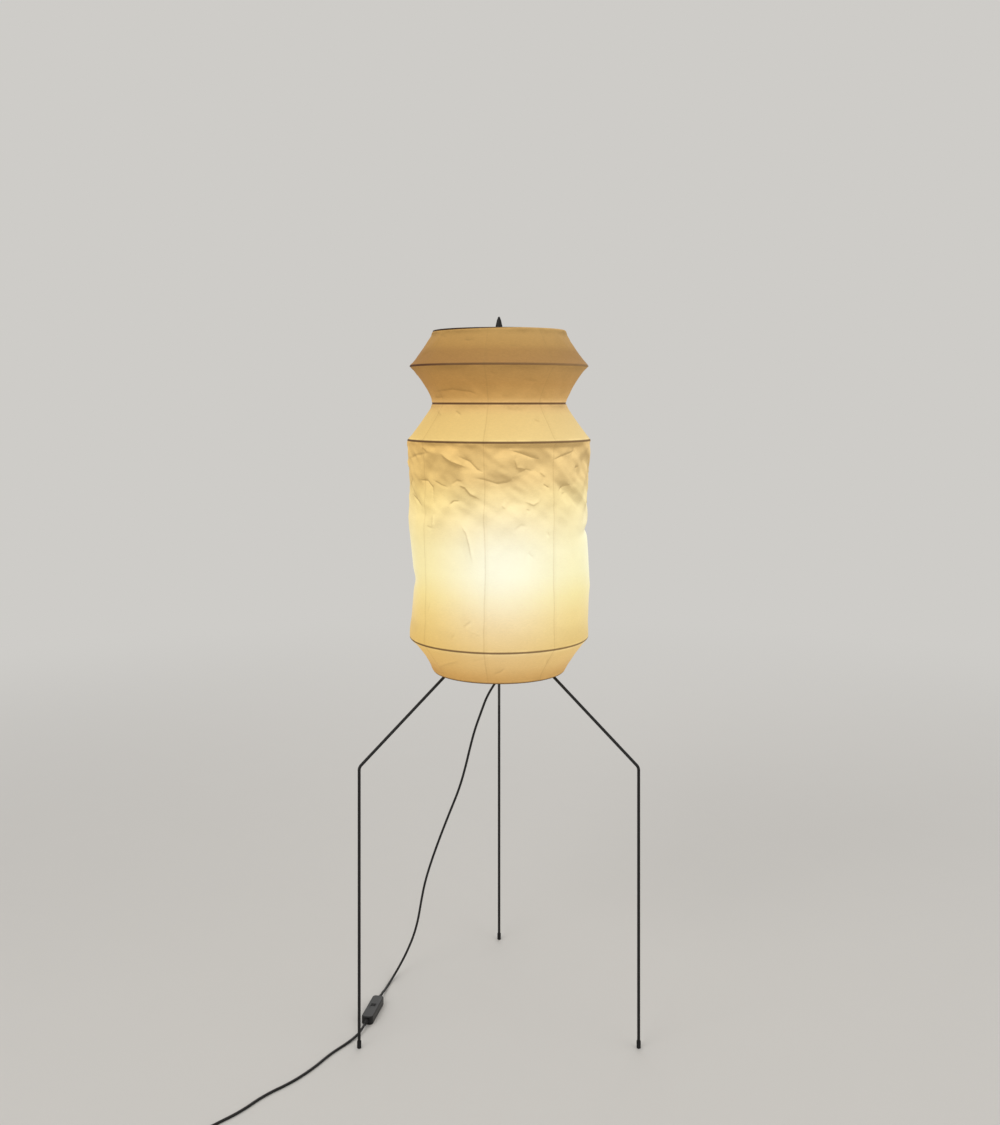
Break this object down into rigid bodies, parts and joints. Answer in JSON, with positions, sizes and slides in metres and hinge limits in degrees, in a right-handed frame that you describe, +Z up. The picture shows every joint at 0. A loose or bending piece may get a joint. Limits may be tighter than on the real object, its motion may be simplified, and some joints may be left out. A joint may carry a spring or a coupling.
{
  "type": "floor lamp",
  "caption": "Floor lamp with a tall folding paper lantern shade on wire rings, carried by a bent-rod tripod, with a corded rocker switch.",
  "frame": {"origin": "on the floor, at the middle of the lamp's footprint with the cord left out; the upright axis of shade and mast is 65.1 mm in front of it, at y = -0.0651", "axes": "+Z up; +Y towards the back leg, so the front view looks along +Y; +X to the right in the front view"},
  "size_m": [0.8265, 0.8576, 1.4522],
  "materials": {
    "black_steel": "satin black powder coat",
    "ring_wire": "dark brown lacquered wire",
    "paper": "translucent mulberry paper, lit warm from inside",
    "rubber": "black rubber",
    "black_plastic": "black moulded plastic",
    "cord_jacket": "black flexible PVC",
    "zinc": "zinc plated",
    "nickel": "nickel plated",
    "brass": "plain brass",
    "steatite": "unglazed white ceramic",
    "opal_glass": "opal glass, lit",
    "clear_glass": "clear glass stem",
    "filament": "LED filament, lit"
  },
  "bodies": {
    "stand": {"hub": "black_steel", "hub_set_screws": "zinc", "leg_left": "black_steel", "leg_right": "black_steel", "leg_back": "black_steel", "foot_tip_left": "rubber", "foot_tip_right": "rubber", "foot_tip_back": "rubber", "mast": "black_steel", "threaded_nipple": "zinc", "nipple_nuts": "zinc", "holder_cap": "black_plastic", "holder_shell": "black_plastic", "holder_insert": "steatite", "holder_screw_shell": "nickel", "holder_contact": "brass", "cord_lead_in": "cord_jacket", "cord_relief": "black_plastic", "cord_drop": "cord_jacket", "cord_run": "cord_jacket", "cord_coil": "cord_jacket", "cord_tail": "cord_jacket", "cord_tie": "black_plastic", "switch_base": "black_plastic", "switch_cover": "black_plastic", "switch_screws": "zinc", "switch_sleeve_in": "rubber", "switch_sleeve_out": "rubber", "switch_terminals": "brass", "plug_body": "black_plastic", "plug_pins": "nickel", "plug_sleeve": "rubber"},
    "bulb": {"bulb_glass": "opal_glass", "bulb_cap": "nickel", "bulb_tip": "brass", "bulb_stem": "clear_glass", "bulb_filaments": "filament"},
    "rocker": {"switch_rocker": "black_plastic"},
    "shade_rim": {"top_spider": "black_steel", "ring_rim": "ring_wire", "paper_rim": "paper"},
    "finial": {"finial": "black_steel"},
    "shade_upper": {"ring_upper": "ring_wire", "paper_upper": "paper"},
    "shade_neck": {"ring_neck": "ring_wire", "paper_neck": "paper"},
    "shade_shoulder": {"ring_shoulder": "ring_wire", "paper_body_high": "paper"},
    "shade_lower": {"ring_lower": "ring_wire", "paper_body_low": "paper"},
    "shade_foot": {"ring_foot": "ring_wire", "paper_foot": "paper"}
  },
  "joints": [
    {"name": "shade_lift", "type": "slide", "parent": "stand", "child": "shade_rim", "axis": [0, 0, 1], "range_m": [0, 0.74]},
    {"name": "fold_rim", "type": "slide", "parent": "shade_rim", "child": "shade_upper", "axis": [0, 0, 1], "range_m": [0, 0.066], "deforming": ["paper_rim"]},
    {"name": "fold_upper", "type": "slide", "parent": "shade_upper", "child": "shade_neck", "axis": [0, 0, 1], "range_m": [0, 0.071], "deforming": ["paper_upper"]},
    {"name": "fold_neck", "type": "slide", "parent": "shade_neck", "child": "shade_shoulder", "axis": [0, 0, 1], "range_m": [0, 0.069], "deforming": ["paper_neck"]},
    {"name": "fold_body", "type": "slide", "parent": "shade_shoulder", "child": "shade_lower", "axis": [0, 0, 1], "range_m": [0, 0.37], "deforming": ["paper_body_high", "paper_body_low"]},
    {"name": "fold_foot", "type": "slide", "parent": "shade_lower", "child": "shade_foot", "axis": [0, 0, 1], "range_m": [0, 0.063], "deforming": ["paper_foot"]},
    {"name": "finial_turn", "type": "hinge", "parent": "shade_rim", "child": "finial", "pos_m": [0, -0.0651, 1.43], "axis": [0, 0, 1], "continuous": true},
    {"name": "bulb_turn", "type": "hinge", "parent": "stand", "child": "bulb", "pos_m": [0.016, -0.0651, 0.85], "axis": [0, 0, 1], "continuous": true},
    {"name": "rocker_tip", "type": "hinge", "parent": "stand", "child": "rocker", "pos_m": [-0.2624, -0.0926, 0.011], "axis": [-0.9842, 0.1771, 0], "range_deg": [0, 20]}
  ]
}
